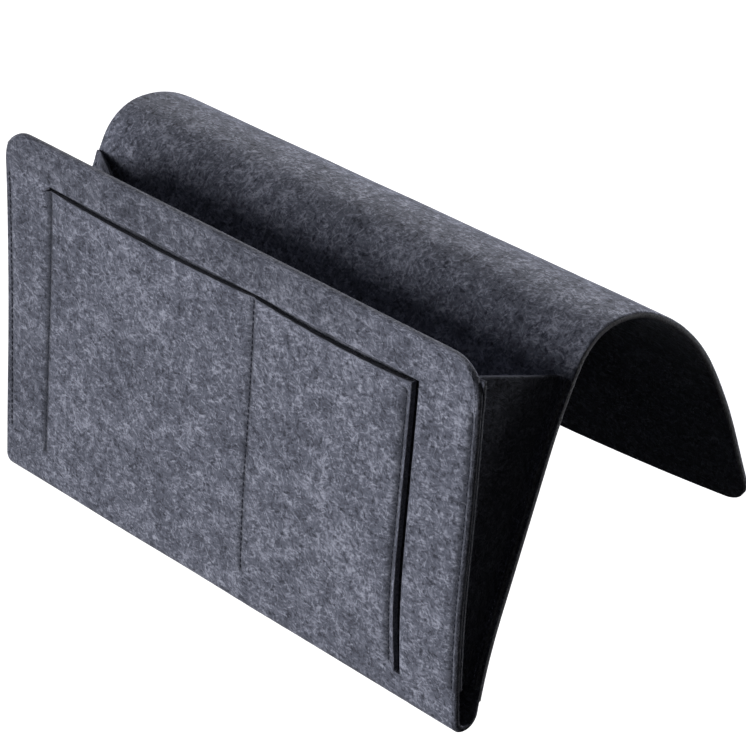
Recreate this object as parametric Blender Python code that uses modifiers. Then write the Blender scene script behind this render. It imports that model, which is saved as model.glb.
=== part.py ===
"""Hanging felt storage bag with a saddle that goes over a rail or under a mattress.

One long felt sheet makes the front panel, the rolled bottom, the back panel, the saddle
and the hanging flap. Its pieces are cut flat, as felt is, and then folded onto one line
that the sheet follows. Distances along that line are counted from the saddle's crown:
plus towards the hanging flap, minus towards the bag. Heights above it are plus on the
face that is inside the bag and on top of the saddle.

The origin is the underside of the crown, where the bag hangs. +X is to the right as
seen from the front, +Y is to the back and +Z is up. All lengths are metres.
"""
import math

import bmesh
import bpy
from mathutils import Vector

# Felt and fits
BAG_WIDTH = 0.320
FELT = 0.0035
BACKING_FELT = 0.0018
GUSSET_FELT = 0.0018
CLEARANCE = 0.0003
FACET_SAG = 0.00005
WELD = 0.00001
OVERRUN = 0.002

# Lengths of the main sheet, from the crown to the flap's free edge
CROWN_REAR = 0.0281
ARCH_REAR = 0.0649
FLAP_BEND = 0.0491
FLAP_TIP = 0.0609

# Lengths of the main sheet, from the crown to the front panel's rim
CROWN_FRONT = 0.0276
SHOULDER = 0.0432
BACK_STRAIGHT = 0.0735
BACK_FOOT = 0.0512
BOTTOM_LOOP = 0.0185
FRONT_FOOT = 0.0756
FRONT_STRAIGHT = 0.1061

# Turns of those lengths in degrees
CROWN_REAR_TURN = 31.9
ARCH_REAR_TURN = 29.2
FLAP_BEND_TURN = 10.0
CROWN_FRONT_TURN = 58.3
SHOULDER_TURN = 10.2
BACK_FOOT_TURN = 10.8
BOTTOM_LOOP_TURN = 166.1
FRONT_FOOT_TURN = 9.3

# Outlines
RIM_CORNER = 0.017
FLAP_CORNER = 0.015
FLAP_BOW = 0.0122
CORNER_STEPS = 6
BOW_STEPS = 12

# Pocket slit in the front panel, in from its sides, down from its rim and up from its foot
MOUTH_MARGIN = 0.0325
MOUTH_DROP = 0.0208
MOUTH_GAP = 0.0028
SLOT_MARGIN = 0.0353
SLOT_WIDTH = 0.0037
SLOT_FOOT = 0.0095
BACKING_MARGIN = 0.010
BACKING_FOOT = 0.006

# Thread and stitch lines
THREAD = 0.0008
STITCH_SINK = 0.0001
SEAM_INSET = 0.003
SIDE_SEAM_DROP = 0.0232
SIDE_SEAM_FOOT = 0.017
POCKET_SEAM_FOOT = 0.0125
POCKET_SEAM_DROP = 0.0015
LEFT_SEAM_IN = 0.001
MIDDLE_SEAM_SHARE = 0.117
RIGHT_SEAM_IN = 0.0033
RIGHT_SEAM_DROP = 0.007

# Gussets
FLANGE = 0.006
GUSSET_DROP = 0.0087
GUSSET_FOOT = 0.0164
GUSSET_BACK_DROP = 0.0068
GUSSET_BACK_FOOT = 0.0126
GUSSET_ROWS = 14
CREASE_DEPTH = 0.0245
CREASE_PLACE_SHARE = 0.70

HALF = BAG_WIDTH / 2
FLAP_RUNS = (
    (CROWN_REAR, CROWN_REAR_TURN),
    (ARCH_REAR, ARCH_REAR_TURN),
    (FLAP_BEND, FLAP_BEND_TURN),
    (FLAP_TIP, 0),
)
BAG_RUNS = (
    (CROWN_FRONT, -CROWN_FRONT_TURN),
    (SHOULDER, -SHOULDER_TURN),
    (BACK_STRAIGHT, 0),
    (BACK_FOOT, -BACK_FOOT_TURN),
    (BOTTOM_LOOP, BOTTOM_LOOP_TURN),
    (FRONT_FOOT, FRONT_FOOT_TURN),
    (FRONT_STRAIGHT, 0),
)

# Distances along the sheet where its working parts meet
SADDLE_END = CROWN_REAR + ARCH_REAR
FLAP_END = SADDLE_END + FLAP_BEND + FLAP_TIP
BACK_TOP = -CROWN_FRONT
BACK_END = BACK_TOP - SHOULDER - BACK_STRAIGHT - BACK_FOOT
FRONT_END = BACK_END - BOTTOM_LOOP
RIM = FRONT_END - FRONT_FOOT - FRONT_STRAIGHT


class Station:
    """A place on the sheet's line: distance, point and the way out of the upper face."""

    def __init__(self, distance, point, normal):
        self.distance = distance
        self.point = point
        self.normal = normal


def bend_steps(run, turn):
    """Straight facets that keep within FACET_SAG of a bend."""
    if turn == 0:
        return 1
    angle = abs(math.radians(turn))
    return max(1, math.ceil(angle / (2 * math.acos(1 - FACET_SAG * angle / run))))


def walk(runs, way):
    """Stations along the sheet from the crown: way is 1 to the flap and -1 to the bag."""
    heading = math.radians(90 * way)
    point = Vector((0, 0, FELT / 2))
    distance = 0
    stations = [Station(distance, point.copy(), Vector((0, 0, 1)))]
    for run, turn in runs:
        steps = bend_steps(run, turn)
        for _ in range(steps):
            part = math.radians(turn) / steps
            chord = run / steps * (math.sin(part / 2) / (part / 2) if part else 1)
            middle = heading + part / 2
            point = point + chord * Vector((0, math.sin(middle), math.cos(middle)))
            heading += part
            distance += way * run / steps
            normal = way * Vector((0, -math.cos(heading), math.sin(heading)))
            stations.append(Station(distance, point.copy(), normal))
    return stations


LINE = walk(BAG_RUNS, -1)[:0:-1] + walk(FLAP_RUNS, 1)


def on_sheet(distance, height):
    """Point at a distance along the sheet's line and a height off it."""
    place = 1
    while place < len(LINE) - 1 and LINE[place].distance < distance:
        place += 1
    low = LINE[place - 1]
    high = LINE[place]
    share = (distance - low.distance) / (high.distance - low.distance)
    start = low.point + height * low.normal
    end = high.point + height * high.normal
    return start.lerp(end, share)


def loop_centre():
    """Middle of the rolled bottom, which the front panel swings about."""
    radius = BOTTOM_LOOP / math.radians(BOTTOM_LOOP_TURN)
    return on_sheet(BACK_END, radius)


def collection(name):
    group = bpy.data.collections.new(name)
    bpy.context.scene.collection.children.link(group)
    return group


def material(name, colour, roughness):
    finish = bpy.data.materials.new(name)
    finish.use_nodes = True
    shader = finish.node_tree.nodes["Principled BSDF"]
    shader.inputs["Base Color"].default_value = (*colour, 1)
    shader.inputs["Roughness"].default_value = roughness
    shader.inputs["Metallic"].default_value = 0
    return finish


def mesh_object(name, bm, group):
    mesh = bpy.data.meshes.new(name)
    bm.to_mesh(mesh)
    bm.free()
    made = bpy.data.objects.new(name, mesh)
    group.objects.link(made)
    return made


def baked(source):
    """The source object's evaluated mesh in a bmesh, with its seams welded."""
    bpy.context.view_layer.update()
    seen = source.evaluated_get(bpy.context.evaluated_depsgraph_get())
    mesh = bpy.data.meshes.new_from_object(seen)
    bm = bmesh.new()
    bm.from_mesh(mesh)
    bpy.data.meshes.remove(mesh)
    bmesh.ops.remove_doubles(bm, verts=bm.verts, dist=WELD)
    return bm


def flat_blank(name, outlines, low, high):
    """Flat piece of felt: X across, Y along the sheet and Z between two heights."""
    curve = bpy.data.curves.new(name, "CURVE")
    curve.dimensions = "2D"
    curve.fill_mode = "BOTH"
    curve.extrude = (high - low) / 2
    for outline in outlines:
        spline = curve.splines.new("POLY")
        spline.points.add(len(outline) - 1)
        for point, (across, along) in zip(spline.points, outline):
            point.co = (across, along, 0, 1)
        spline.use_cyclic_u = True
    flat = bpy.data.objects.new(name, curve)
    CUTTERS.objects.link(flat)
    bm = baked(flat)
    bpy.data.objects.remove(flat)
    bmesh.ops.translate(bm, verts=bm.verts, vec=(0, 0, (low + high) / 2))
    bmesh.ops.dissolve_limit(bm, angle_limit=math.radians(1), verts=bm.verts, edges=bm.edges)
    return mesh_object(name, bm, CUTTERS)


def box(name, across, along, heights):
    """Flat cutter between two values on each axis."""
    bm = bmesh.new()
    bmesh.ops.create_cube(bm, size=1)
    size = Vector((across[1] - across[0], along[1] - along[0], heights[1] - heights[0]))
    middle = Vector((sum(across), sum(along), sum(heights))) / 2
    bmesh.ops.scale(bm, vec=size, verts=bm.verts)
    bmesh.ops.translate(bm, vec=middle, verts=bm.verts)
    cutter = mesh_object(name, bm, CUTTERS)
    cutter.hide_render = True
    cutter.display_type = "WIRE"
    return cutter


def carve(blank, cutters):
    """Takes the cutters out of a flat blank."""
    for cutter in cutters:
        cut = blank.modifiers.new(cutter.name, "BOOLEAN")
        cut.operation = "DIFFERENCE"
        cut.object = cutter


def fold(name, blank, finish):
    """Folds a flat blank onto the sheet's line as the finished piece."""
    bm = baked(blank)
    for station in LINE[1:-1]:
        bmesh.ops.bisect_plane(
            bm,
            geom=bm.verts[:] + bm.edges[:] + bm.faces[:],
            dist=WELD,
            plane_co=(0, station.distance, 0),
            plane_no=(0, 1, 0),
        )
    for vert in bm.verts:
        place = on_sheet(vert.co.y, vert.co.z)
        vert.co = (vert.co.x, place.y, place.z)
    for cut in blank.modifiers:
        bpy.data.objects.remove(cut.object)
    bpy.data.objects.remove(blank)
    piece = mesh_object(name, bm, PARTS)
    piece.data.materials.append(finish)
    return piece


def rounded(corner, radius, start_degrees, turn_degrees=90):
    """Points of an arc round a corner's centre."""
    points = []
    for step in range(CORNER_STEPS + 1):
        angle = math.radians(start_degrees + turn_degrees * step / CORNER_STEPS)
        points.append((corner[0] + radius * math.cos(angle), corner[1] + radius * math.sin(angle)))
    return points


def rectangle(across, along):
    return [(across[0], along[0]), (across[1], along[0]), (across[1], along[1]), (across[0], along[1])]


def groove(across, along, face, inward):
    """Cutter for a stitch line that presses into the face at a height."""
    half = THREAD / 2 + CLEARANCE
    depth = inward * (THREAD + STITCH_SINK + CLEARANCE)
    heights = sorted((face - inward * OVERRUN, face + depth))
    reach = (along[0] - CLEARANCE, along[1] + CLEARANCE)
    return box("stitch_groove", (across - half, across + half), reach, heights)


def strand_points(across, along, height):
    """Places of a thread along the sheet, at every facet edge between its ends."""
    stops = [along[0]]
    stops += [s.distance for s in LINE if along[0] + WELD < s.distance < along[1] - WELD]
    stops.append(along[1])
    return [(across, *on_sheet(stop, height).yz) for stop in stops]


def thread(name, across, along, height):
    """One thread of a seam, lying along the sheet at a height."""
    curve = bpy.data.curves.new(name, "CURVE")
    curve.dimensions = "3D"
    curve.bevel_depth = THREAD / 2
    curve.bevel_resolution = 1
    curve.use_fill_caps = True
    points = strand_points(across, along, height)
    spline = curve.splines.new("POLY")
    spline.points.add(len(points) - 1)
    for point, place in zip(spline.points, points):
        point.co = (*place, 1)
    curve.materials.append(THREAD_FINISH)
    strand = bpy.data.objects.new(name, curve)
    PARTS.objects.link(strand)
    return strand


def seam(name, across, along, inner_height):
    """Lockstitch seam: the needle's thread in its groove and the bobbin's thread inside."""
    outside = -FELT / 2 + STITCH_SINK + THREAD / 2
    inside = inner_height + CLEARANCE + THREAD / 2
    return [
        thread(f"{name}_needle_thread", across, along, outside),
        thread(f"{name}_bobbin_thread", across, along, inside),
    ]


def trimmed(start, end):
    """A working part's reach along the sheet, clear of its neighbours."""
    return (start + CLEARANCE / 2, end - CLEARANCE / 2)


SIDE_SEAM = HALF - SEAM_INSET
MOUTH_LEFT = MOUTH_MARGIN - HALF
SLOT_OUTER = HALF - SLOT_MARGIN
SLOT_INNER = SLOT_OUTER - SLOT_WIDTH
FRONT_SEAM_REACH = (RIM + SIDE_SEAM_DROP, FRONT_END - SIDE_SEAM_FOOT - CLEARANCE)
BACK_SEAM_REACH = (BACK_END + GUSSET_BACK_FOOT + OVERRUN, BACK_TOP - GUSSET_BACK_DROP - OVERRUN)
MOUTH = RIM + MOUTH_DROP
POCKET_REACH = (MOUTH + MOUTH_GAP + POCKET_SEAM_DROP, FRONT_END - POCKET_SEAM_FOOT)
POCKET_SEAMS = {
    "pocket_left_seam": (MOUTH_LEFT + LEFT_SEAM_IN, POCKET_REACH),
    "pocket_middle_seam": (HALF * MIDDLE_SEAM_SHARE, POCKET_REACH),
    "pocket_right_seam": (SLOT_INNER - RIGHT_SEAM_IN, (MOUTH + RIGHT_SEAM_DROP, POCKET_REACH[1])),
}


def front_panel():
    """Front of the bag, with rounded top corners and the slit that frees the pockets."""
    low = RIM + RIM_CORNER
    side = HALF - RIM_CORNER
    outline = rounded((-side, low), RIM_CORNER, 180) + rounded((side, low), RIM_CORNER, 270)
    outline += [(HALF, FRONT_END - CLEARANCE / 2), (-HALF, FRONT_END - CLEARANCE / 2)]
    slot_end = FRONT_END - SLOT_FOOT
    slit = [
        (MOUTH_LEFT, MOUTH),
        (SLOT_OUTER, MOUTH),
        (SLOT_OUTER, slot_end),
        (SLOT_INNER, slot_end),
        (SLOT_INNER, MOUTH + MOUTH_GAP),
        (MOUTH_LEFT, MOUTH + MOUTH_GAP),
    ]
    blank = flat_blank("front_blank", [outline, slit], -FELT / 2, FELT / 2)
    grooves = [groove(side_x, FRONT_SEAM_REACH, -FELT / 2, 1) for side_x in (-SIDE_SEAM, SIDE_SEAM)]
    grooves += [groove(across, reach, -FELT / 2, 1) for across, reach in POCKET_SEAMS.values()]
    carve(blank, grooves)
    return fold("front_panel", blank, FELT_FINISH)


def pocket_backing():
    """Thin sheet behind the slit, which closes the two flat pockets."""
    low = FELT / 2 + CLEARANCE
    across = (MOUTH_LEFT - BACKING_MARGIN, SLOT_OUTER + BACKING_MARGIN)
    along = (MOUTH - BACKING_MARGIN, FRONT_END - BACKING_FOOT)
    blank = flat_blank("backing_blank", [rectangle(across, along)], low, low + BACKING_FELT)
    return fold("pocket_backing", blank, BACKING_FINISH)


def bottom_fold():
    """Rolled bottom of the bag, open at its ends."""
    blank = flat_blank(
        "bottom_blank", [rectangle((-HALF, HALF), trimmed(FRONT_END, BACK_END))], -FELT / 2, FELT / 2
    )
    return fold("bottom_fold", blank, FELT_FINISH)


def back_panel():
    """Rear wall of the bag, with its side seams pressed into the rear face."""
    blank = flat_blank(
        "back_blank", [rectangle((-HALF, HALF), trimmed(BACK_END, BACK_TOP))], -FELT / 2, FELT / 2
    )
    carve(blank, [groove(side, BACK_SEAM_REACH, -FELT / 2, 1) for side in (-SIDE_SEAM, SIDE_SEAM)])
    return fold("back_panel", blank, FELT_FINISH)


def saddle():
    """Arch that lies over the rail or the mattress edge."""
    blank = flat_blank(
        "saddle_blank", [rectangle((-HALF, HALF), trimmed(BACK_TOP, SADDLE_END))], -FELT / 2, FELT / 2
    )
    return fold("saddle", blank, FELT_FINISH)


def hanging_flap():
    """Free end of the sheet, with a bowed edge and rounded corners."""
    edge_half = HALF - FLAP_CORNER
    edge_slope = math.atan(2 * FLAP_BOW / HALF)
    corner_x = HALF - FLAP_CORNER
    corner_end = corner_x + FLAP_CORNER * math.sin(edge_slope)

    def edge(across):
        return FLAP_END - FLAP_BOW * (across / HALF) ** 2

    corner_y = edge(corner_end) - FLAP_CORNER * math.cos(edge_slope)
    turn = 90 - math.degrees(edge_slope)
    start = SADDLE_END + CLEARANCE / 2
    outline = [(-HALF, start), (HALF, start)]
    outline += rounded((corner_x, corner_y), FLAP_CORNER, 0, turn)
    for step in range(1, BOW_STEPS):
        across = edge_half * (1 - 2 * step / BOW_STEPS)
        outline.append((across, edge(across)))
    outline += rounded((-corner_x, corner_y), FLAP_CORNER, 180 - turn, turn)
    blank = flat_blank("flap_blank", [outline], -FELT / 2, FELT / 2)
    return fold("hanging_flap", blank, FELT_FINISH)


def gusset(name, side, crease_depth):
    """Side wall: flanges sewn to the panels, and a body that may crease inwards."""
    height = FELT / 2 + CLEARANCE + GUSSET_FELT / 2
    front = (FRONT_END - GUSSET_FOOT, RIM + GUSSET_DROP)
    back = (BACK_END + GUSSET_BACK_FOOT, BACK_TOP - GUSSET_BACK_DROP)
    body_x = HALF - FLANGE - GUSSET_FELT / 2
    bm = bmesh.new()
    bmesh.ops.create_grid(bm, x_segments=4, y_segments=GUSSET_ROWS, size=0.5)
    for vert in bm.verts:
        column = round((vert.co.x + 0.5) * 4)
        rise = vert.co.y + 0.5
        front_line = on_sheet(front[0] + (front[1] - front[0]) * rise, height)
        back_line = on_sheet(back[0] + (back[1] - back[0]) * rise, height)
        crease = front_line.lerp(back_line, CREASE_PLACE_SHARE)
        line = (front_line, front_line, crease, back_line, back_line)[column]
        across = (HALF, body_x, body_x - crease_depth * rise, body_x, HALF)[column]
        vert.co = (side * across, line.y, line.z)
    bmesh.ops.recalc_face_normals(bm, faces=bm.faces)
    piece = mesh_object(name, bm, PARTS)
    wall = piece.modifiers.new("felt", "SOLIDIFY")
    wall.thickness = GUSSET_FELT
    wall.offset = 0
    wall.use_even_offset = True
    piece.data.materials.append(FELT_FINISH)
    return piece


def hang_on(pieces, name, place):
    """Parents moving pieces to an empty on their hinge line."""
    hinge = bpy.data.objects.new(name, None)
    hinge.location = place
    PARTS.objects.link(hinge)
    for piece in pieces:
        piece.parent = hinge
        piece.location = -Vector(place)


for old in list(bpy.data.objects):
    bpy.data.objects.remove(old)
PARTS = collection("hanging_storage_bag")
CUTTERS = collection("cutters")
FELT_FINISH = material("slate_felt", (0.138, 0.144, 0.182), 0.95)
BACKING_FINISH = material("dark_felt", (0.06, 0.063, 0.078), 0.95)
THREAD_FINISH = material("dark_thread", (0.02, 0.02, 0.028), 0.7)

bottom_fold()
back_panel()
saddle()
gusset("left_gusset", -1, CREASE_DEPTH)
gusset("right_gusset", 1, 0)
flange_face = FELT / 2 + CLEARANCE + GUSSET_FELT
backing_face = FELT / 2 + CLEARANCE + BACKING_FELT
front_pieces = [front_panel(), pocket_backing()]
for side_name, side_x in (("left", -SIDE_SEAM), ("right", SIDE_SEAM)):
    seam(f"back_{side_name}_seam", side_x, BACK_SEAM_REACH, flange_face)
    front_pieces += seam(f"front_{side_name}_seam", side_x, FRONT_SEAM_REACH, flange_face)
for seam_name, (seam_x, seam_reach) in POCKET_SEAMS.items():
    front_pieces += seam(seam_name, seam_x, seam_reach, backing_face)
hang_on(front_pieces, "front_swing_axis", loop_centre())
hang_on([hanging_flap()], "flap_swing_axis", (0, 0, FELT / 2))
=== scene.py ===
"""Hanging storage bag of thick grey felt, dressed round its CAD frame.

The bag is cut from flat felt and folded, and so is this model. A blank is laid out flat,
with X across the sheet, Y along it and Z through it, then gets its slit, rounded corners,
thickness, soft cut edges and stitch grooves, and is folded onto the line that the sheet
follows. Distances along that line are counted from the saddle's crown: plus towards the
hanging flap, minus towards the bag. Heights off it are plus on the face that is inside
the bag and on top of the saddle. All lengths are metres.
"""

import math

import bmesh
import bpy
import numpy as np
from mathutils import Matrix, Vector, noise


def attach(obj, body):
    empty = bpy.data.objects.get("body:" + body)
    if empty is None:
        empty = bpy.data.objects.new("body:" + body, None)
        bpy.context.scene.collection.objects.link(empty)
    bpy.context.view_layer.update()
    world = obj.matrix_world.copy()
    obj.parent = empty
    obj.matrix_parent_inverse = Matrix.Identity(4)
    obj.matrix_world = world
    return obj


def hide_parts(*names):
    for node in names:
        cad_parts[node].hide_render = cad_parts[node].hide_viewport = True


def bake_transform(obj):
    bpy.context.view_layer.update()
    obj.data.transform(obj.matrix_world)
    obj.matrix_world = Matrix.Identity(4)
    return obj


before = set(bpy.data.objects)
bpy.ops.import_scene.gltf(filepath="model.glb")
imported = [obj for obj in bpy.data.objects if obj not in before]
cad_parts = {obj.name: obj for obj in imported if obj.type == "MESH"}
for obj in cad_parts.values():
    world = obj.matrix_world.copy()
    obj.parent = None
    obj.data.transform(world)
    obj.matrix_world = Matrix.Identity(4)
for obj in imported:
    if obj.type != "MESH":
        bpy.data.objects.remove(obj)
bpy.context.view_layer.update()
bpy.ops.object.select_all(action="DESELECT")
MM = 0.001

# Camera of the photograph, fitted to the bag's edges
CAMERA_PLACE = (0.86637, -0.84393, 0.62594)
CAMERA_RIGHT = (0.70099427, 0.7131669, 0.0)
CAMERA_UP = (-0.36396564, 0.35775332, 0.85996603)
CAMERA_BACK = (0.61329931, -0.60283126, 0.51035128)
camera_data = bpy.data.cameras.new("photo_camera")
camera_data.sensor_width = 36
camera_data.lens = 138.92
camera = bpy.data.objects.new("photo_camera", camera_data)
bpy.context.scene.collection.objects.link(camera)
turned = Matrix((CAMERA_RIGHT, CAMERA_UP, CAMERA_BACK)).transposed()
camera.matrix_world = Matrix.Translation(CAMERA_PLACE) @ turned.to_4x4()
bpy.context.scene.camera = camera

# Felt: the main sheet, the thin pieces, and how far those lie off it
BAG_WIDTH = 0.320
HALF = BAG_WIDTH / 2
FELT = 0.0035
BACKING_FELT = 0.0018
GUSSET_FELT = 0.0018
CLEARANCE = 0.0001
TOUCHING = 0.01 * MM

# How far cut edges are rounded, and which edges count as sharp, in degrees
SOFT_EDGE = 0.0020
INNER_SOFT_EDGE = 0.0005
SLIT_SOFT_EDGE = 0.0005
SADDLE_SOFT_EDGE = 0.0009
SADDLE_INNER_SOFT_EDGE = 0.0006
THIN_SOFT_EDGE = 0.35 * MM
SHARP = 60

# Slight waves of the whole felt, and the uneven thickness of its tufts
WAVE_HEIGHT = 0.25 * MM
WAVE_SIZE = 55 * MM
TUFT_HEIGHT = 0.05 * MM
TUFT_SIZE = 5 * MM
FRONT_SEED = 3
REAR_SEED = 11

# Spacing of the blanks' grid lines. Lines beside a seam are placed from it, in millimetres
GRID_ACROSS = 2.2 * MM
GRID_ALONG = 3.0 * MM
GRID_THIN = 3 * MM
BESIDE_SEAM = (-2.6, -1.7, -1.0, -0.5, 0, 0.5, 1.0, 1.7, 2.6)

# Runs of the main sheet from the crown. The felt is a little twisted, so its two ends
# bend differently: turns are in degrees, at the left end and at the right end
FLAP_RUNS = (0.0281, 0.0649, 0.0491, 0.0609)
BAG_RUNS = (0.0276, 0.0432, 0.0735, 0.0512, 0.0185, 0.0756, 0.1061)
LEFT_FLAP_TURNS = (30.3, 30.8, 10.9, 0.3)
LEFT_BAG_TURNS = (-61.1, -8.3, 2.6, -7.7, 170.0, -0.4, -3.1)
LEFT_CROWN = (-0.0015, 0.0)
RIGHT_FLAP_TURNS = (31.0, 30.4, 8.6, -0.8)
RIGHT_BAG_TURNS = (-59.5, -8.9, 0.3, -10.5, 166.7, 8.2, -3.3)
RIGHT_CROWN = (-0.0005, -0.0003)
FLAP_END = 0.2030
BACK_TOP = -0.0276
BACK_END = -0.1955
FRONT_END = -0.2140
RIM = -0.3957
JOIN = BACK_END + 0.006

# Outlines. The flap's end is cut in a slight bow, which its last stretch leads up to
RIM_CORNER = 0.017
FLAP_CORNER = 0.015
FLAP_BOW = 0.0122
BOW_LENGTH = 0.085

# Pocket slit, which the seams hold nearly shut at the pockets' ends
MOUTH = RIM + 0.0208
MOUTH_GAP = 0.0037
MOUTH_SHUT = 0.0016
MOUTH_LEFT = -0.1268
SLOT_INNER = 0.1215
SLOT_OUTER = 0.1251
SLOT_END = FRONT_END - 0.0095
POCKET_LIFT = 0.0009
MOUTH_DRIFT = 0.0005
BACKING_MARGIN = 0.010

# Stitches. The inner faces sink less at the seams than the outer ones
STITCH_PITCH = 0.0030
STITCH_LENGTH = 0.0029
THREAD = 0.0009
GROOVE_DEPTH = 0.0010
GROOVE_WIDTH = 0.0019
INNER_SINK = 0.6
SIDE_SEAM = HALF - 0.003
LEFT_SEAM = -0.1265
MIDDLE_SEAM = 0.0187
RIGHT_SEAM = 0.1177
FRONT_REACH = (RIM + 0.0232, FRONT_END - 0.0173)
BACK_REACH = (BACK_END + 0.0146, BACK_TOP - 0.0103)
POCKET_LOW = FRONT_END - 0.0125
POCKET_TOP = MOUTH + MOUTH_SHUT + 0.0008
# Each seam: its place across, its two ends along, and how hard its thread is drawn in, which also
# sets the depth of its painted groove shade
FRONT_SEAMS = {
    "front_left_seam": (-SIDE_SEAM, FRONT_REACH, 0.8),
    "front_right_seam": (SIDE_SEAM, FRONT_REACH, 1.2),
    "pocket_left_seam": (LEFT_SEAM, (POCKET_TOP, POCKET_LOW), 1.3),
    "pocket_middle_seam": (MIDDLE_SEAM, (POCKET_TOP, POCKET_LOW), 0.85),
    "pocket_right_seam": (RIGHT_SEAM, (MOUTH + 0.007, POCKET_LOW), 1.2),
}
BACK_SEAMS = {
    "back_left_seam": (-SIDE_SEAM, BACK_REACH, 1.0),
    "back_right_seam": (SIDE_SEAM, BACK_REACH, 1.0),
}

# How far the seams and the slot wander across, at the slit, halfway down and at the foot
WANDER_AT = (-HALF, -SIDE_SEAM, LEFT_SEAM, MIDDLE_SEAM, RIGHT_SEAM, 0.1229, 0.145, HALF)
WANDER = (
    (0, 0, 0.0015, 0.0018, 0.0013, 0.0005, 0, 0),
    (0, 0.001, -0.0005, 0.0002, -0.0002, -0.0010, 0, 0),
    (0, 0.002, -0.0022, -0.0007, -0.0002, 0.0003, 0, 0),
)

# Gussets: where their flanges lie on the sheets, and how the left one is creased inwards
FLANGE = 0.006
GUSSET_FRONT = (FRONT_END - 0.0164, RIM + 0.0087)
GUSSET_BACK = (BACK_END + 0.0126, BACK_TOP - 0.0068)
LEFT_CREASE = 0.0245
CREASE_SHARE = 0.70
CREASE_DIP = 0.006
CREASE_LIE = 0.003
GUSSET_BEND = 0.0022
# Grid of a gusset's blank: flange, bend, wall, crease, wall, bend and flange. Its wall is
# between the two columns given
GUSSET_SPANS = (4, *[1] * 5, 16, *[1] * 5, 8, *[1] * 5, 4)
GUSSET_COLUMNS = np.arange(sum(GUSSET_SPANS) + 1)
GUSSET_WALL = (9, 38)
GUSSET_ROWS = np.linspace(0, 1, 97)
# Felt pattern of a gusset: width of a column, length of the whole, and its own patch of felt
GUSSET_COLUMN = 1.6 * MM
GUSSET_LENGTH = 0.165
GUSSET_PATCH = 1.3


def line_side(crown, runs, turns, way):
    """Rows of distance, y, z and the upper face's way out, from the crown outwards."""
    heading = math.radians(90 * way)
    y, z, distance = crown[0], crown[1] + FELT / 2, 0.0
    rows = [(0.0, y, z, 0.0, 1.0)]
    for run, turn in zip(runs, turns):
        steps = math.ceil(run / (0.5 * MM))
        part = math.radians(turn) / steps
        for _ in range(steps):
            chord = run / steps * (math.sin(part / 2) / (part / 2) if part else 1)
            y += chord * math.sin(heading + part / 2)
            z += chord * math.cos(heading + part / 2)
            heading += part
            distance += way * run / steps
            rows.append((distance, y, z, -way * math.cos(heading), way * math.sin(heading)))
    return rows


def whole_line(crown, flap_turns, bag_turns):
    """Line of the sheet at one of its ends, from the rim to the flap's end."""
    to_bag = line_side(crown, BAG_RUNS, bag_turns, -1)[:0:-1]
    return np.array(to_bag + line_side(crown, FLAP_RUNS, flap_turns, 1))


LEFT_LINE = whole_line(LEFT_CROWN, LEFT_FLAP_TURNS, LEFT_BAG_TURNS)
RIGHT_LINE = whole_line(RIGHT_CROWN, RIGHT_FLAP_TURNS, RIGHT_BAG_TURNS)


def on_sheet(across, distance, height):
    """Y and Z at places across the sheet, distances along it and heights off it."""
    share = across / BAG_WIDTH + 0.5
    values = []
    for i in (1, 2, 3, 4):
        at_left = np.interp(distance, LEFT_LINE[:, 0], LEFT_LINE[:, i])
        at_right = np.interp(distance, RIGHT_LINE[:, 0], RIGHT_LINE[:, i])
        values.append(at_left + (at_right - at_left) * share)
    y, z, out_y, out_z = values
    return y + height * out_y, z + height * out_z


def places(piece):
    """The mesh's points as rows of an array."""
    flat = np.empty(len(piece.data.vertices) * 3)
    piece.data.vertices.foreach_get("co", flat)
    return flat.reshape(-1, 3)


def move_to(piece, points):
    """Puts the mesh's points at rows of places."""
    piece.data.vertices.foreach_set("co", np.asarray(points, float).ravel())
    piece.data.update()


def cut_lines(start, end, step, through=(), seams=()):
    """Grid lines no further apart than step, through stated places and close by seams."""
    # The lines keep off cut edges, which are rounded later
    edges = {start, end, *through}
    marks = set(edges)
    for seam in seams:
        for near in BESIDE_SEAM:
            mark = seam + near * MM
            if all(abs(mark - edge) > 1.35 * SOFT_EDGE for edge in edges):
                marks.add(mark)
    marks = sorted(mark for mark in marks if start <= mark <= end)
    lines = [marks[0]]
    for mark in marks[1:]:
        last = lines[-1]
        parts = math.ceil((mark - last) / step - 0.001)
        lines += [last + (mark - last) * (part + 1) / parts for part in range(parts)]
    return np.array(lines)


def felt_blank(name, columns, rows):
    """Flat grid of felt with its lines at the stated places."""
    bpy.ops.object.select_all(action="DESELECT")
    bpy.ops.mesh.primitive_grid_add(
        x_subdivisions=len(columns) - 1, y_subdivisions=len(rows) - 1, size=1
    )
    blank = bpy.context.object
    blank.name = blank.data.name = name
    at = places(blank)
    column = np.rint((at[:, 0] + 0.5) * (len(columns) - 1)).astype(int)
    row = np.rint((at[:, 1] + 0.5) * (len(rows) - 1)).astype(int)
    move_to(blank, np.column_stack((columns[column], rows[row], np.zeros(len(at)))))
    return blank


def cut_out(blank, across, along):
    """Takes the faces between two values on each axis out of a flat blank."""
    bpy.ops.object.mode_set(mode="EDIT")
    bpy.ops.mesh.select_mode(type="FACE")
    bpy.ops.mesh.select_all(action="DESELECT")
    bm = bmesh.from_edit_mesh(blank.data)
    for face in bm.faces:
        middle = face.calc_center_median()
        inside = across[0] < middle.x < across[1] and along[0] < middle.y < along[1]
        face.select_set(inside)
    bmesh.update_edit_mesh(blank.data)
    bpy.ops.mesh.delete(type="FACE")
    bpy.ops.object.mode_set(mode="OBJECT")


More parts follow.
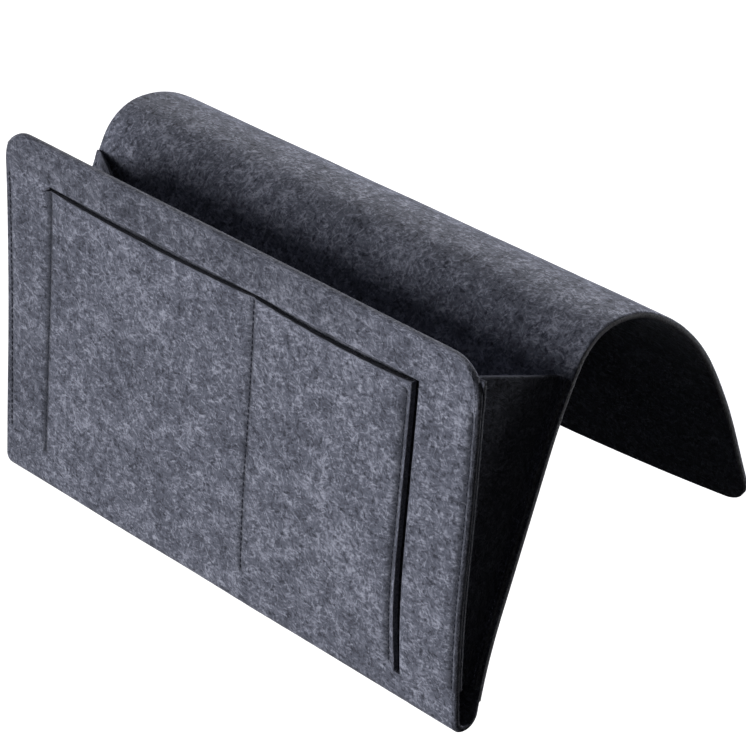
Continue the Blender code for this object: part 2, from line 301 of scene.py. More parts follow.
def round_corner(at, corner, way, radius):
    """Moves a square corner's grid points onto a round one of that radius."""
    u = (at[:, 0] - (corner[0] - way[0] * radius)) * way[0] / radius
    v = (at[:, 1] - (corner[1] - way[1] * radius)) * way[1] / radius
    near = (u > 0) & (v > 0)
    u, v = u[near], v[near]
    at[near, 0] = corner[0] - way[0] * radius * (1 - u * np.sqrt(1 - v * v / 2))
    at[near, 1] = corner[1] - way[1] * radius * (1 - v * np.sqrt(1 - u * u / 2))


def turn_outwards():
    """Points the active piece's faces outwards."""
    bpy.ops.object.mode_set(mode="EDIT")
    bpy.ops.mesh.select_all(action="SELECT")
    bpy.ops.mesh.normals_make_consistent(inside=False)
    bpy.ops.object.mode_set(mode="OBJECT")


def thicken(piece, thickness):
    """Gives a sheet its thickness, with the cut edge in the piece's second material."""
    wall = piece.modifiers.new("thickness", "SOLIDIFY")
    wall.thickness = thickness
    wall.offset = 0
    wall.use_even_offset = True
    wall.material_offset_rim = 1
    bpy.context.view_layer.objects.active = piece
    bpy.ops.object.modifier_apply(modifier=wall.name)


def round_edges(piece, offset, chosen, finish=0):
    """Rounds sharp edges at chosen places, but not where two sheets are joined."""
    bpy.ops.object.mode_set(mode="EDIT")
    bpy.ops.mesh.select_mode(type="EDGE")
    bpy.ops.mesh.select_all(action="DESELECT")
    bpy.ops.mesh.edges_select_sharp(sharpness=math.radians(SHARP))
    bm = bmesh.from_edit_mesh(piece.data)
    for edge in bm.edges:
        joined = all(abs(vert.co.y - JOIN) < TOUCHING for vert in edge.verts)
        if joined or not all(chosen(vert.co) for vert in edge.verts):
            edge.select_set(False)
    bmesh.update_edit_mesh(piece.data)
    bpy.ops.mesh.bevel(offset=offset, segments=3, profile=0.5, affect="EDGES", material=finish)
    bpy.ops.object.mode_set(mode="OBJECT")


def in_slit(at):
    """Whether a place on the flat front is at the slit's edges."""
    return abs(at.x) < HALF - 0.02 and MOUTH - 0.001 < at.y < SLOT_END + 0.001


def lay_pattern(piece):
    """UV in metres on the flat cut, led round its soft edges and set apart for each face."""
    mesh = piece.data
    corner = np.empty(len(mesh.loops), int)
    mesh.loops.foreach_get("vertex_index", corner)
    sizes = np.empty(len(mesh.polygons), int)
    mesh.polygons.foreach_get("loop_total", sizes)
    ways = np.empty(len(mesh.polygons) * 3)
    mesh.polygons.foreach_get("normal", ways)
    under = np.repeat(ways.reshape(-1, 3)[:, 2] < 0, sizes)
    at = places(piece)
    outward = np.empty(len(at) * 3)
    mesh.vertex_normals.foreach_get("vector", outward)
    height = abs(at[:, 2:])
    at = (at[:, :2] + outward.reshape(-1, 3)[:, :2] * (height.max() - height))[corner]
    uv = np.column_stack((at[:, 0] + 0.7 * under, at[:, 1]))
    mesh.uv_layers[0].data.foreach_set("uv", uv.ravel())


def smooth_step(low, high, value):
    """Share from 0 at low to 1 at high, eased at both."""
    share = np.clip((value - low) / (high - low), 0, 1)
    return share * share * (3 - 2 * share)


def wander(across, along):
    """How far hand-guided stitching and cutting drift from their straight lines."""
    share = np.clip((along - MOUTH) / (SLOT_END - MOUTH), 0, 1)
    top, middle, foot = (np.interp(across, WANDER_AT, row) for row in WANDER)
    return (
        top * (1 - share) * (1 - 2 * share)
        + middle * 4 * share * (1 - share)
        + foot * share * (2 * share - 1)
    )


def shut_mouth(at):
    """Draws the slit's lower lip up to the band where seams hold it."""
    pocket = np.where(at[:, 0] < MIDDLE_SEAM, 0, 1)
    low = np.array((MOUTH_LEFT, MIDDLE_SEAM))[pocket]
    high = np.array((MIDDLE_SEAM, SLOT_INNER))[pocket]
    share = np.clip((at[:, 0] - low) / (high - low), 0, 1)
    shut = (MOUTH_GAP - MOUTH_SHUT) * (1 - np.sin(math.pi * share) ** 0.6)
    below = at[:, 1] - MOUTH - MOUTH_GAP
    ease = smooth_step(0.009, 0, below) * (below > -TOUCHING) * (at[:, 0] < SLOT_INNER + TOUCHING)
    at[:, 1] -= shut * ease * smooth_step(MOUTH_LEFT - 0.006, MOUTH_LEFT, at[:, 0])
    # The slit runs a little lower over the right pocket
    beside = np.exp(-(((at[:, 1] - MOUTH) / 0.008) ** 2))
    at[:, 1] += MOUTH_DRIFT * beside * smooth_step(MIDDLE_SEAM, MIDDLE_SEAM + 0.03, at[:, 0])


def pocket_lift(across, along):
    """How far the right pocket stands off the panel, most at its free edge and mouth."""
    inside = (across < SLOT_OUTER - 0.0015) & (along > MOUTH + MOUTH_SHUT / 2) & (along < SLOT_END)
    to_slot = smooth_step(MIDDLE_SEAM, SLOT_INNER, across)
    to_mouth = smooth_step(SLOT_END, SLOT_END - 0.04, along)
    return np.where(inside, POCKET_LIFT * to_slot * to_mouth, 0)


def grooves(at, seams):
    """How far the faces sink at stitch lines, deeper where the thread goes through."""
    sink = np.zeros(len(at))
    for seam_x, (low, high), pull in seams.values():
        beside = np.exp(-(((at[:, 0] - seam_x) / GROOVE_WIDTH) ** 2))
        along = smooth_step(low - 0.001, low + 0.001, at[:, 1])
        along = along * smooth_step(high + 0.001, high - 0.001, at[:, 1])
        hole = 0.9 + 0.1 * np.cos(2 * math.pi * (at[:, 1] - low) / STITCH_PITCH)
        sink = np.maximum(sink, pull * beside * along * hole)
    return sink * GROOVE_DEPTH


def waviness(at, size, seed):
    """Smooth random heights from -1 to 1 over the flat sheet, for waves of that size."""
    return np.array([noise.noise(Vector((x / size, y / size, seed))) for x, y, _ in at])


def slight_waves(at, seed):
    """Waves of a whole sheet, which the pieces sewn to it share."""
    return WAVE_HEIGHT * waviness(at, WAVE_SIZE, seed)


def darker_rim_and_shaded_border(at):
    """Share of darkening over the rim above the slit, and of painted shade down the left border.
    """
    rim = smooth_step(MOUTH + 0.001, MOUTH - 0.003, at[:, 1]) * smooth_step(0.12, 0.06, at[:, 0])
    border = smooth_step(LEFT_SEAM - 0.001, LEFT_SEAM - 0.008, at[:, 0]) * (at[:, 1] < FRONT_END)
    return np.maximum(0.30 * rim, 0.10 * border)


def sculpt(piece, seams, seed):
    """Presses in the seams and gives the felt its slight waves and uneven thickness."""
    at = places(piece)
    face_way = np.sign(at[:, 2])
    sink = grooves(at, seams) * np.where(face_way < 0, 1, INNER_SINK)
    # Share of darkening: squeezed felt and painted groove shade at the seams, a darker rim over
    # the slit, and painted shade down the left border
    pressed_and_shaded = piece.data.attributes.new("pressed_and_shaded", "FLOAT", "POINT")
    pressed_and_shaded.data.foreach_set("value", np.maximum(0.75 * sink / GROOVE_DEPTH, darker_rim_and_shaded_border(at)))
    at[:, 2] -= face_way * sink * (abs(at[:, 2]) > FELT * 0.45)
    at[:, 2] += face_way * TUFT_HEIGHT * waviness(at, TUFT_SIZE, seed + 5)
    at[:, 2] += slight_waves(at, seed)
    move_to(piece, at)


def fold(piece):
    """Folds a flat piece onto the sheet's line."""
    at = places(piece)
    y, z = on_sheet(at[:, 0], at[:, 1], at[:, 2])
    move_to(piece, np.column_stack((at[:, 0], y, z)))


def shade_softly(piece, angle=40):
    """Shades a piece smooth, apart from edges sharper than the angle."""
    bpy.context.view_layer.objects.active = piece
    piece.select_set(True)
    bpy.ops.object.shade_smooth_by_angle(angle=math.radians(angle))
    piece.select_set(False)


# Materials
def colour(hex_value):
    """Linear colour of an sRGB hex value."""
    parts = [int(hex_value[i : i + 2], 16) / 255 for i in (1, 3, 5)]
    return (*(p / 12.92 if p <= 0.04045 else ((p + 0.055) / 1.055) ** 2.4 for p in parts), 1)


def new_material(name):
    """An empty material and its tree."""
    made = bpy.data.materials.new(name)
    made.use_nodes = True
    made.node_tree.nodes.clear()
    return made, made.node_tree


def add_node(tree, kind, inputs=None, **settings):
    """Adds a node with its settings, and its inputs as values or links."""
    made = tree.nodes.new(kind)
    for key, value in settings.items():
        setattr(made, key, value)
    for key, value in (inputs or {}).items():
        if isinstance(value, bpy.types.NodeSocket):
            tree.links.new(value, made.inputs[key])
        else:
            made.inputs[key].default_value = value
    return made


def matted_fibres(tree, where, strands):
    """Strands in several directions, each direction leading in its own patches of the felt."""
    total = 0.0
    # Each direction is read at its own place, so that none repeats another
    for number, (long, wide, angle) in enumerate(strands):
        along = add_node(
            tree,
            "ShaderNodeMapping",
            {
                "Vector": where,
                "Location": (0.31 * number, 0.62 * number, 0),
                "Rotation": (0, 0, math.radians(angle)),
                "Scale": (long * MM, wide * MM, 1),
            },
            vector_type="TEXTURE",
        ).outputs[0]
        strand = add_node(
            tree,
            "ShaderNodeTexNoise",
            {"Vector": along, "Scale": 1.0, "Detail": 2.5, "Roughness": 0.65, "Distortion": 0.15},
            noise_dimensions="2D",
        ).outputs["Fac"]
        strand = add_node(
            tree, "ShaderNodeMapRange", {"Value": strand, "To Min": -0.5, "To Max": 0.5}
        ).outputs[0]
        beside = add_node(
            tree,
            "ShaderNodeMapping",
            {"Vector": where, "Location": (0.17 * number, -0.23 * number, 0)},
        ).outputs[0]
        # Tufts of one direction are about 4 mm across
        tufts = add_node(
            tree,
            "ShaderNodeTexNoise",
            {"Vector": beside, "Scale": 1 / (7 * MM), "Detail": 1.0},
            noise_dimensions="2D",
        ).outputs["Fac"]
        leading = add_node(
            tree,
            "ShaderNodeMapRange",
            {"Value": tufts, "From Min": 0.40, "From Max": 0.62},
            interpolation_type="SMOOTHSTEP",
        ).outputs[0]
        total = add_node(
            tree, "ShaderNodeMath", {0: strand, 1: leading, 2: total}, operation="MULTIPLY_ADD"
        ).outputs[0]
    return total


def loose_hairs(tree, where, sizes):
    """Single pale fibres on the surface: thin curved lines, broken into short lengths."""
    total = 0.0
    for number, size in enumerate(sizes):
        beside = add_node(
            tree,
            "ShaderNodeMapping",
            {"Vector": where, "Location": (0.41 * number + 0.1, 0.27 * number, 0)},
        ).outputs[0]
        curves = add_node(
            tree,
            "ShaderNodeTexNoise",
            {"Vector": beside, "Scale": 1 / (size * MM), "Detail": 0.4},
            noise_dimensions="2D",
        ).outputs["Fac"]
        off_line = add_node(
            tree, "ShaderNodeMath", {0: curves, 1: 0.5}, operation="SUBTRACT"
        ).outputs[0]
        off_line = add_node(tree, "ShaderNodeMath", {0: off_line}, operation="ABSOLUTE").outputs[0]
        line = add_node(
            tree,
            "ShaderNodeMapRange",
            {"Value": off_line, "From Max": 0.28 / size, "To Min": 1.0, "To Max": 0.0},
            interpolation_type="SMOOTHSTEP",
        ).outputs[0]
        gaps = add_node(
            tree,
            "ShaderNodeTexNoise",
            {"Vector": beside, "Scale": 1 / (0.6 * size * MM), "Detail": 0.5},
            noise_dimensions="2D",
        ).outputs["Fac"]
        broken = add_node(
            tree, "ShaderNodeMapRange", {"Value": gaps, "From Min": 0.50, "From Max": 0.60}
        ).outputs[0]
        hair = add_node(
            tree, "ShaderNodeMath", {0: line, 1: broken}, operation="MULTIPLY"
        ).outputs[0]
        total = add_node(
            tree, "ShaderNodeMath", {0: total, 1: hair}, operation="MAXIMUM"
        ).outputs[0]
    return total


def felt_finish(name, deep, base, pale):
    """Needle-punched polyester felt: matted fibres of dark and light grey, without shine."""
    made, tree = new_material(name)
    where = add_node(tree, "ShaderNodeUVMap", uv_map="UVMap").outputs[0]
    # Strands 3 to 4 mm long, drawn 0.7 mm wide as they lie in tufts and have to show. Most
    # run across the sheet, the way the web went through the needle loom
    strands = (
        (8, 1.2, 6),
        (7, 1.1, 164),
        (8, 1.3, 24),
        (7, 1.2, 146),
        (6, 1.1, 58),
        (6, 1.2, 101),
    )
    fibres = matted_fibres(tree, where, strands)
    # Clumps of 1 to 5 mm, and clouds of about 25 mm left by the blending of dyed fibres
    clumps = add_node(
        tree,
        "ShaderNodeTexNoise",
        {"Vector": where, "Scale": 1 / (9 * MM), "Detail": 5.0, "Roughness": 0.8},
        noise_dimensions="2D",
    ).outputs["Fac"]
    clouds = add_node(
        tree,
        "ShaderNodeTexNoise",
        {"Vector": where, "Scale": 1 / (40 * MM), "Detail": 1.5},
        noise_dimensions="2D",
    ).outputs["Fac"]
    # Hairs half a millimetre wide, which is as fine as shows
    hairs = loose_hairs(tree, where, (9, 7, 11, 8))
    # Painted shade in pits about 1 mm across between the tufts
    hollows = add_node(
        tree,
        "ShaderNodeTexNoise",
        {"Vector": where, "Scale": 1 / (2.6 * MM), "Detail": 2.0, "Roughness": 0.6},
        noise_dimensions="2D",
    ).outputs["Fac"]
    painted_pit_shade = add_node(
        tree, "ShaderNodeMapRange", {"Value": hollows, "From Min": 0.44, "From Max": 0.28}
    ).outputs[0]
    # Clumps and clouds average 0.5, so half their shares come off the start
    clump_share, cloud_share = 1.2, 0.42
    level = 0.5 - (clump_share + cloud_share) / 2
    layers = (
        (clumps, clump_share),
        (clouds, cloud_share),
        (fibres, 0.85),
        (hairs, 0.26),
        (painted_pit_shade, -0.36),
    )
    for layer, share in layers:
        level = add_node(
            tree, "ShaderNodeMath", {0: layer, 1: share, 2: level}, operation="MULTIPLY_ADD"
        ).outputs[0]
    surface = colour(deep)
    for start, lighter in ((0.0, base), (0.5, pale)):
        share = add_node(
            tree,
            "ShaderNodeMapRange",
            {"Value": level, "From Min": start, "From Max": start + 0.5},
        ).outputs[0]
        surface = add_node(
            tree,
            "ShaderNodeMix",
            {"Factor": share, 6: surface, 7: colour(lighter)},
            data_type="RGBA",
        ).outputs[2]
    # Felt squeezed under the stitches is dense and dark, and painted shade deepens the seams'
    # grooves. The same share darkens the rim over the slit and paints shade down the left border
    pressed_and_shaded = add_node(tree, "ShaderNodeAttribute", attribute_name="pressed_and_shaded").outputs["Fac"]
    surface = add_node(
        tree,
        "ShaderNodeMix",
        {"Factor": pressed_and_shaded, 6: surface, 7: colour("#282A31")},
        data_type="RGBA",
    ).outputs[2]
    relief = add_node(
        tree, "ShaderNodeBump", {"Height": level, "Distance": 0.3 * MM, "Strength": 0.6}
    ).outputs[0]
    add_surface(tree, surface, relief)
    return made


def add_surface(tree, surface, relief, roughness=0.95, specular=0.02, sheen=0.12):
    """Shader and output of a matt woollen surface, a little lighter at grazing angles."""
    shader = add_node(
        tree,
        "ShaderNodeBsdfPrincipled",
        {
            "Base Color": surface,
            "Normal": relief,
            "Roughness": roughness,
            "IOR": 1.45,
            "Specular IOR Level": specular,
            "Sheen Weight": sheen,
            "Sheen Roughness": 0.6,
        },
    )
    add_node(tree, "ShaderNodeOutputMaterial", {"Surface": shader.outputs[0]})


def cut_edge_finish(name, deep, pale):
    """Die-cut edge of the felt: fibre ends stand out in a rough, slightly paler pile."""
    made, tree = new_material(name)
    where = add_node(tree, "ShaderNodeTexCoord").outputs["Object"]
    # Fibre ends about 0.5 mm apart
    ends = add_node(
        tree,
        "ShaderNodeTexNoise",
        {"Vector": where, "Scale": 1 / (0.9 * MM), "Detail": 3.0, "Roughness": 0.7},
    ).outputs["Fac"]
    level = add_node(
        tree, "ShaderNodeMapRange", {"Value": ends, "From Min": 0.3, "From Max": 0.7}
    ).outputs[0]
    surface = add_node(
        tree,
        "ShaderNodeMix",
        {"Factor": level, 6: colour(deep), 7: colour(pale)},
        data_type="RGBA",
    ).outputs[2]
    relief = add_node(
        tree, "ShaderNodeBump", {"Height": ends, "Distance": 0.8 * MM, "Strength": 1.0}
    ).outputs[0]
    add_surface(tree, surface, relief, sheen=0.05)
    return made


def thread_finish():
    """Twisted polyester sewing thread, darker than the felt and faintly silky."""
    made, tree = new_material("dark_polyester_thread")
    where = add_node(tree, "ShaderNodeTexCoord").outputs["Object"]
    slanted = add_node(
        tree, "ShaderNodeMapping", {"Vector": where, "Rotation": (0, 0.6, 0.6)}
    ).outputs[0]
    # Plies 0.8 mm apart, coarse enough to show: the node draws 3.2 bands to its scale's length
    plies = add_node(
        tree,
        "ShaderNodeTexWave",
        {"Vector": slanted, "Scale": 1 / (2.512 * MM), "Distortion": 0.6},
    ).outputs["Fac"]
    surface = add_node(
        tree,
        "ShaderNodeMix",
        {"Factor": plies, 6: colour("#262833"), 7: colour("#3C3F4D")},
        data_type="RGBA",
    ).outputs[2]
    relief = add_node(
        tree, "ShaderNodeBump", {"Height": plies, "Distance": 0.1 * MM, "Strength": 0.6}
    ).outputs[0]
    add_surface(tree, surface, relief, roughness=0.6, specular=0.1, sheen=0.1)
    return made


FACE = felt_finish("slate_needle_felt", "#3A3C46", "#686B79", "#A6A9B9")
CUT = cut_edge_finish("slate_felt_cut_edge", "#4C4D55", "#8E909A")
# Very pale cut edge of the rear sheet: a painted highlight, as though light caught the edges of
# the saddle and flap
PAINTED_HIGHLIGHT_CUT = cut_edge_finish("slate_felt_edge_painted_highlight", "#94959D", "#DADBE1")
# Dark cut edge, painted shade: for the slit's lower lip and the gussets' top edges
PAINTED_SHADE_CUT = cut_edge_finish("slate_felt_cut_edge_painted_shade", "#2A2C36", "#464853")
# Side-wall felt painted a shade darker than the main felt, as painted shade on the recessed side
# walls
SHADED_SIDE_FELT = felt_finish("thin_slate_felt_painted_shade", "#31333B", "#565864", "#888B9A")
BACKING = felt_finish("dark_backing_felt", "#26272D", "#43454E", "#6A6C78")
BACKING_CUT = cut_edge_finish("dark_felt_cut_edge", "#2C2D33", "#4C4D54")
THREAD_FINISH = thread_finish()


def add_finishes(piece, *finishes):
    """Gives a piece its finishes: first the faces', then the cut edge's and any others."""
    for finish in finishes:
        piece.data.materials.append(finish)


def flat_area(piece):
    """Area of a flat blank before it has thickness."""
    return sum(face.area for face in piece.data.polygons)


def front_wall():
    """Front panel with its pocket slit, and the rolled bottom it is one sheet with."""
    columns = cut_lines(
        -HALF,
        HALF,
        GRID_ACROSS,
        through=(MOUTH_LEFT, SLOT_INNER, SLOT_OUTER),
        seams=[seam_x for seam_x, _, _ in FRONT_SEAMS.values()],
    )
    # Fine rows where the stitches are, and finer ones round the rolled bottom
    roll = (FRONT_END - 0.004, BACK_END + 0.004)
    rows = np.concatenate(
        (
            cut_lines(RIM, MOUTH, 3.5 * MM)[:-1],
            cut_lines(
                MOUTH, roll[0], STITCH_PITCH / 2, through=(MOUTH + MOUTH_GAP, SLOT_END)
            )[:-1],
            cut_lines(*roll, 0.8 * MM)[:-1],
            cut_lines(roll[1], JOIN, 1.5 * MM),
        )
    )
    piece = felt_blank("felt_front_and_bottom", columns, rows)
    cut_out(piece, (MOUTH_LEFT, SLOT_OUTER), (MOUTH, MOUTH + MOUTH_GAP))
    cut_out(piece, (SLOT_INNER, SLOT_OUTER), (MOUTH, SLOT_END))
    at = places(piece)
    for way in (-1, 1):
        round_corner(at, (way * HALF, RIM), (way, -1), RIM_CORNER)
    shut_mouth(at)
    move_to(piece, at)
    area = flat_area(piece)
    add_finishes(piece, FACE, CUT, PAINTED_SHADE_CUT)
    thicken(piece, FELT)
    # The cut edge of the slit's lower lip is painted dark with the shade in the slit
    for face in piece.data.polygons:
        if face.material_index == 1 and face.normal.y < -0.7 and in_slit(face.center):
            face.material_index = 2
    round_edges(piece, SLIT_SOFT_EDGE, in_slit)
    round_edges(piece, SOFT_EDGE, lambda at: at.z < 0 and not in_slit(at))
    round_edges(piece, INNER_SOFT_EDGE, lambda at: at.z > 0 and not in_slit(at))
    lay_pattern(piece)
    sculpt(piece, FRONT_SEAMS, FRONT_SEED)
    at = places(piece)
    at[:, 2] -= pocket_lift(at[:, 0], at[:, 1])
    at[:, 0] += wander(at[:, 0], at[:, 1])
    move_to(piece, at)
    fold(piece)
    shade_softly(piece)
    return piece, area


def rear_sheet():
    """Rear wall, saddle and hanging flap in one sheet."""
    seams = [seam_x for seam_x, _, _ in BACK_SEAMS.values()]
    columns = cut_lines(-HALF, HALF, GRID_ACROSS, seams=seams)
    rows = cut_lines(JOIN, FLAP_END, GRID_ALONG)
    piece = felt_blank("felt_back_saddle_and_flap", columns, rows)
    at = places(piece)
    for way in (-1, 1):
        round_corner(at, (way * HALF, FLAP_END), (way, 1), FLAP_CORNER)
    ease = smooth_step(FLAP_END - BOW_LENGTH, FLAP_END - FLAP_CORNER, at[:, 1])
    at[:, 1] -= FLAP_BOW * (at[:, 0] / HALF) ** 2 * ease
    move_to(piece, at)
    area = flat_area(piece)
    # Its cut edges, and their rounding on the outer face, carry the painted highlight
    add_finishes(piece, FACE, PAINTED_HIGHLIGHT_CUT)
    thicken(piece, FELT)
    round_edges(piece, SADDLE_INNER_SOFT_EDGE, lambda at: at.z < 0, finish=1)
    round_edges(piece, SADDLE_SOFT_EDGE, lambda at: at.z > 0)
    lay_pattern(piece)
    sculpt(piece, BACK_SEAMS, REAR_SEED)
    fold(piece)
    shade_softly(piece)
    return piece, area


def eased_profile(points, ease, spacing):
    """A bent strip's section: straight runs with their bends eased, as rows of points."""
    path = [points[0]]
    for before, corner, after in zip(points, points[1:], points[2:]):
        legs = [(p - corner).length for p in (before, after)]
        reach = [min(ease, 0.4 * leg) for leg in legs]
        start = corner + (before - corner).normalized() * reach[0]
        end = corner + (after - corner).normalized() * reach[1]
        for step in range(6):
            t = step / 5
            path.append(start.lerp(corner, t).lerp(corner.lerp(end, t), t))
    path.append(points[-1])
    full = [path[0]]
    for (first, last), count in zip(zip(path, path[1:]), spacing):
        full += [first.lerp(last, (step + 1) / count) for step in range(count)]
    return full


def gusset_section(side, crease_depth, rise):
    """Section of a gusset at a share of its height, from the front's flange to the back's."""
    height = FELT / 2 + CLEARANCE + GUSSET_FELT / 2
    wall_x = HALF - FLANGE - GUSSET_FELT / 2
    ends = []
    for low, high in (GUSSET_FRONT, GUSSET_BACK):
        y, z = on_sheet(side * wall_x, low + (high - low) * rise, height)
        ends.append(Vector((0, float(y), float(z))))
    front_end, back_end = ends
    crease = front_end.lerp(back_end, CREASE_SHARE)
    folded = crease_depth > 0
    crease.z -= folded * CREASE_DIP * smooth_step(0.5, 1, rise)
    # The folded wall lies on the back panel a little further in, and at its top further out
    lie = folded * CREASE_LIE * (1 - 2 * smooth_step(0.90, 0.98, rise))
    corners = (
        (front_end, HALF - 0.0002),
        (front_end, wall_x),
        (crease, wall_x - crease_depth * rise),
        (back_end, wall_x - lie),
        (back_end, HALF - 0.0010),
    )
    points = [Vector((side * x, place.y, place.z)) for place, x in corners]
    return eased_profile(points, GUSSET_BEND, GUSSET_SPANS)


def draw_in_flanges(points, column, share_up):
    """Lets a gusset's flanges follow their sheets' waves, and sink with them at the seams."""
    to_back = smooth_step(*GUSSET_WALL, column)
    for (low, high), seams, seed, share in (
        (GUSSET_FRONT, FRONT_SEAMS, FRONT_SEED, 1 - to_back),
        (GUSSET_BACK, BACK_SEAMS, REAR_SEED, to_back),
    ):
        flat = np.column_stack((points[:, 0], low + (high - low) * share_up, 0 * share_up))
        rise = slight_waves(flat, seed) - INNER_SINK * grooves(flat, seams)
        level = np.array(on_sheet(flat[:, 0], flat[:, 1], 0))
        moved = np.array(on_sheet(flat[:, 0], flat[:, 1], rise))
        points[:, 1:] += (share * (moved - level)).T


def gusset(name, side, crease_depth):
    """Side wall of one bent strip of thin felt: a sewn flange at each panel, a wall between."""
    piece = felt_blank(name, GUSSET_COLUMNS, GUSSET_ROWS)
    at = places(piece)
    uv = at[:, :2] * (GUSSET_COLUMN, GUSSET_LENGTH) + (GUSSET_PATCH + side, 0)
    corner = np.empty(len(piece.data.loops), int)
    piece.data.loops.foreach_get("vertex_index", corner)
    piece.data.uv_layers[0].data.foreach_set("uv", uv[corner].ravel())
    grid = np.array([gusset_section(side, crease_depth, rise) for rise in GUSSET_ROWS], float)
    row = np.rint(at[:, 1] * (len(GUSSET_ROWS) - 1)).astype(int)
    column = np.rint(at[:, 0]).astype(int)
    points = grid[row, column]
    draw_in_flanges(points, at[:, 0], at[:, 1])
    grid[row, column] = points
    wide = np.linalg.norm(np.diff(grid, axis=1), axis=2).sum(axis=1).max()
    long = np.linalg.norm(np.diff(grid, axis=0), axis=2).sum(axis=0).max()
    move_to(piece, points)
    area = flat_area(piece)
    add_finishes(piece, SHADED_SIDE_FELT, CUT, PAINTED_SHADE_CUT)
    turn_outwards()
    thicken(piece, GUSSET_FELT)
    # The top edge is painted dark with shade, and the flanges' cut edges are paler
    for face in piece.data.polygons:
        if face.material_index == 1 and face.normal.z > 0.5:
            face.material_index = 2
    bpy.ops.object.mode_set(mode="EDIT")
    bpy.ops.mesh.select_mode(type="EDGE")
    bpy.ops.mesh.select_all(action="DESELECT")
    bpy.ops.mesh.edges_select_sharp(sharpness=math.radians(SHARP))
    bpy.ops.mesh.bevel(offset=THIN_SOFT_EDGE, segments=2, profile=0.5, affect="EDGES")
    bpy.ops.object.mode_set(mode="OBJECT")
    turn_outwards()
    shade_softly(piece, 50)
    return piece, area, (float(wide), float(long))


def pocket_backing():
    """Thin dark felt behind the slit."""
    columns = cut_lines(MOUTH_LEFT - BACKING_MARGIN, SLOT_OUTER + BACKING_MARGIN, GRID_THIN)
    rows = cut_lines(MOUTH - BACKING_MARGIN, FRONT_END - 0.006, GRID_THIN)
    piece = felt_blank("felt_pocket_backing", columns, rows)
    area = flat_area(piece)
    add_finishes(piece, BACKING, BACKING_CUT)
    thicken(piece, BACKING_FELT)
    round_edges(piece, THIN_SOFT_EDGE, lambda at: True)
    lay_pattern(piece)
    at = places(piece)
    at[:, 2] += slight_waves(at, FRONT_SEED) + FELT / 2 + CLEARANCE + BACKING_FELT / 2
    move_to(piece, at)
    fold(piece)
    shade_softly(piece)
    return piece, area


def stitch_row(name, across, reach, height, way):
    """Lockstitches in a row: each dips into the felt at its two ends."""
    low, high = reach
    count = int((high - low) / STITCH_PITCH)
    bpy.ops.object.select_all(action="DESELECT")
    bpy.ops.mesh.primitive_uv_sphere_add(segments=8, ring_count=7, radius=0.5)
    row = bpy.context.object
    row.name = row.data.name = name
    at = places(row)
    along = at[:, 2] * STITCH_LENGTH
    thick = THREAD * (1 - 0.25 * (2 * at[:, 2]) ** 2)
    deep = 1.1 * THREAD * (2 * at[:, 2]) ** 4
    stitch = (
        across + at[:, 0] * thick,
        low + STITCH_PITCH / 2 + along,
        height + at[:, 1] * thick * 0.9 - way * deep,
    )
    move_to(row, np.column_stack(stitch))
    copies = row.modifiers.new("stitches", "ARRAY")
    copies.use_relative_offset = False
    copies.use_constant_offset = True
    copies.constant_offset_displace = (0, STITCH_PITCH, 0)
    copies.count = count
    bpy.context.view_layer.objects.active = row
    bpy.ops.object.modifier_apply(modifier=copies.name)
    turn_outwards()
    at = places(row)
    if name.startswith("back"):
        at[:, 2] += slight_waves(at, REAR_SEED)
    else:
        at[:, 2] += slight_waves(at, FRONT_SEED) - pocket_lift(at[:, 0], at[:, 1])
        at[:, 0] += wander(at[:, 0], at[:, 1])
    move_to(row, at)
    fold(row)
    row.data.materials.append(THREAD_FINISH)
    shade_softly(row, 60)
    return row


front, front_area = front_wall()
rear, rear_area = rear_sheet()
left, left_area, left_flat = gusset("felt_left_gusset", -1, LEFT_CREASE)
right, right_area, right_flat = gusset("felt_right_gusset", 1, 0.0)
backing, backing_area = pocket_backing()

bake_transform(front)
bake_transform(rear)
for wall in (left, right):
    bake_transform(wall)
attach(backing, "front")
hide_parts("front_panel", "bottom_fold")
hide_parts("back_panel", "saddle", "hanging_flap")
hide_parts("left_gusset")
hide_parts("right_gusset")
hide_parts("pocket_backing")

stitches = {"front": [], "back": []}
for body, seams in (("front", FRONT_SEAMS), ("back", BACK_SEAMS)):
    for seam_name, (seam_x, reach, pull) in seams.items():
        # Threads lie part sunk in the felt. A gusset's flange is drawn in, the backing isn't
        if seam_name.startswith("pocket"):
            inner = FELT / 2 + CLEARANCE + BACKING_FELT + 0.25 * THREAD
        else:
            drawn_in = INNER_SINK * pull * GROOVE_DEPTH
            inner = FELT / 2 + CLEARANCE + GUSSET_FELT + 0.25 * THREAD - drawn_in
        outer = -FELT / 2 + pull * GROOVE_DEPTH - 0.35 * THREAD
        for thread_name, height, way in (("needle", outer, -1), ("bobbin", inner, 1)):
            row = stitch_row(f"{seam_name}_{thread_name}_stitches", seam_x, reach, height, way)
            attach(row, body)
            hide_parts(f"{seam_name}_{thread_name}_thread")
            stitches[body].append(row)


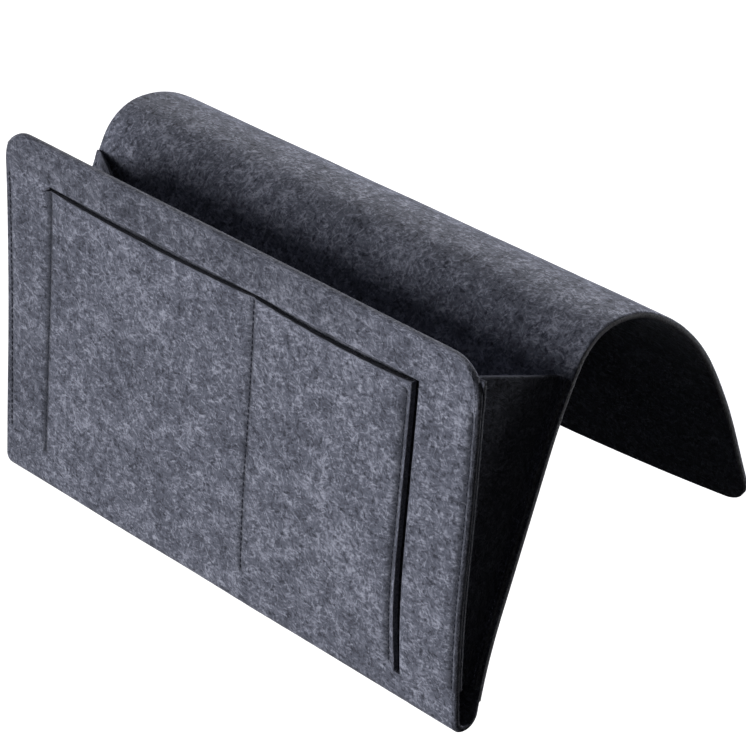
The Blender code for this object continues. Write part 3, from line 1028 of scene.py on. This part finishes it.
# Floor, light and background
def white_to_the_eye(tree, seen, lighting):
    """Mix of what camera, glossy and transmission rays see and what lights the object."""
    rays = add_node(tree, "ShaderNodeLightPath")
    sight = rays.outputs["Is Camera Ray"]
    for other in ("Is Glossy Ray", "Is Transmission Ray"):
        sight = add_node(
            tree, "ShaderNodeMath", {0: sight, 1: rays.outputs[other]}, operation="MAXIMUM"
        ).outputs[0]
    return add_node(tree, "ShaderNodeMixShader", {0: sight, 1: lighting, 2: seen}).outputs[0]


def studio_floor():
    """Wide pale floor well below the bag, which hangs: white to the eye, with its shadow."""
    bpy.ops.object.select_all(action="DESELECT")
    bpy.ops.mesh.primitive_plane_add(size=24, location=(0, 0, -1.0))
    floor = bpy.context.object
    floor.name = "studio_floor"
    made, tree = new_material("pale_floor")
    glow = add_node(tree, "ShaderNodeEmission", {"Color": colour("#FFFFFF"), "Strength": 0.75})
    pale = add_node(tree, "ShaderNodeBsdfDiffuse", {"Color": colour("#E4E4E6")})
    seen = add_node(tree, "ShaderNodeAddShader", {0: glow.outputs[0], 1: pale.outputs[0]})
    dull = add_node(tree, "ShaderNodeBsdfDiffuse", {"Color": colour("#121213")})
    mixed = white_to_the_eye(tree, seen.outputs[0], dull.outputs[0])
    add_node(tree, "ShaderNodeOutputMaterial", {"Surface": mixed})
    floor.data.materials.append(made)


def sun(name, way, strength, softness):
    """Soft lamp that shines from a direction, at a strength where 1 lights white fully."""
    lamp = bpy.data.lights.new(name, "SUN")
    lamp.energy = strength * math.pi
    lamp.angle = math.radians(softness)
    made = bpy.data.objects.new(name, lamp)
    made.rotation_euler = Vector(way).to_track_quat("Z", "Y").to_euler()
    bpy.context.scene.collection.objects.link(made)


def studio_sky():
    """White to the eye, and dim on the bag, so that the lamps model its folds."""
    world = bpy.data.worlds.new("studio")
    bpy.context.scene.world = world
    world.use_nodes = True
    tree = world.node_tree
    tree.nodes.clear()
    seen = add_node(tree, "ShaderNodeBackground", {"Color": colour("#FFFFFF"), "Strength": 1.0})
    dim = add_node(tree, "ShaderNodeBackground", {"Color": colour("#FFFFFF"), "Strength": 0.023})
    mixed = white_to_the_eye(tree, seen.outputs[0], dim.outputs[0])
    add_node(tree, "ShaderNodeOutputWorld", {"Surface": mixed})


studio_floor()
sun("rear_softbox", (-0.09, 0.95, 0.29), 1.34, 34)
sun("front_softbox", (-0.35, -0.92, 0.165), 1.02, 40)
studio_sky()
bpy.context.scene.view_settings.view_transform = "Standard"
